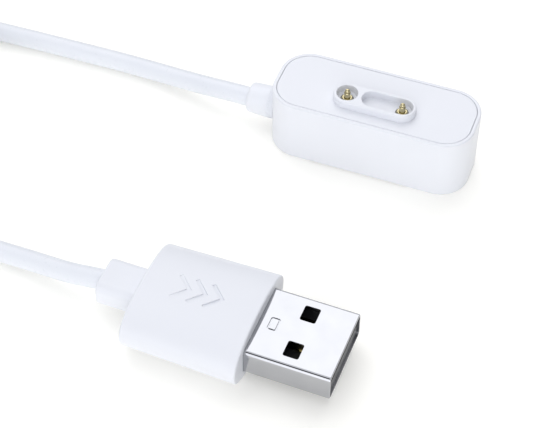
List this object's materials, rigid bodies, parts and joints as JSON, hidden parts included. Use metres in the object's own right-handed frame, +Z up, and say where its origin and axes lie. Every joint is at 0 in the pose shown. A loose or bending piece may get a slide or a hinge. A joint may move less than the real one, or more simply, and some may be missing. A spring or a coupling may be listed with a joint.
{
  "type": "fitness tracker charging cable",
  "caption": "Magnetic charging cable for a fitness tracker: dock head with two sprung contact pins, thin cord and USB-A plug.",
  "frame": {"origin": "centre of the dock head's underside, on the surface that the cable lies on", "axes": "+X along the dock head, away from its cord; +Y across it, away from the USB plug; +Z up, out of the cover that the tracker seats on"},
  "size_m": [0.1228, 0.0562, 0.0128],
  "materials": {
    "white_plastic": "satin",
    "white_overmould": "satin",
    "cord_jacket": "satin",
    "tie_strap": "matte",
    "gold_plating": "polished",
    "spring_steel": "drawn wire",
    "magnet_nickel": "nickel plated",
    "board_laminate": "solder mask",
    "black_epoxy": "moulded",
    "solder": "bright",
    "red_insulation": "extruded",
    "black_insulation": "extruded",
    "natural_mould": "as moulded",
    "plug_nickel": "nickel plated",
    "black_insulator": "moulded",
    "crimp_steel": "plated"
  },
  "bodies": {
    "cable": {"dock_housing": "white_plastic", "top_cover": "white_plastic", "contact_bar": "white_plastic", "left_pin_barrel": "gold_plating", "right_pin_barrel": "gold_plating", "left_pin_spring": "spring_steel", "right_pin_spring": "spring_steel", "left_magnet": "magnet_nickel", "right_magnet": "magnet_nickel", "contact_board": "board_laminate", "surge_diode": "black_epoxy", "pin_solder": "solder", "dock_supply_wire": "red_insulation", "dock_ground_wire": "black_insulation", "dock_strain_relief": "white_overmould", "cord_dock_run": "cord_jacket", "cord_coil": "cord_jacket", "coil_tie": "tie_strap", "cord_plug_run": "cord_jacket", "plug_strain_relief": "white_overmould", "plug_grip": "white_overmould", "plug_inner_mould": "natural_mould", "plug_shell": "plug_nickel", "plug_insulator": "black_insulator", "plug_supply_contact": "gold_plating", "plug_data_minus_contact": "gold_plating", "plug_data_plus_contact": "gold_plating", "plug_ground_contact": "gold_plating", "plug_cord_crimp": "crimp_steel", "plug_supply_wire": "red_insulation", "plug_ground_wire": "black_insulation"},
    "left_pin": {"left_pin_plunger": "gold_plating"},
    "right_pin": {"right_pin_plunger": "gold_plating"}
  },
  "joints": [
    {"name": "left_pin_press", "type": "slide", "parent": "cable", "child": "left_pin", "axis": [0, 0, -1], "range_m": [0, 0.0009], "stiffness_N_per_m": 500, "springref_m": -0.0006, "deforming": ["left_pin_spring"]},
    {"name": "right_pin_press", "type": "slide", "parent": "cable", "child": "right_pin", "axis": [0, 0, -1], "range_m": [0, 0.0009], "stiffness_N_per_m": 500, "springref_m": -0.0006, "deforming": ["right_pin_spring"]}
  ]
}
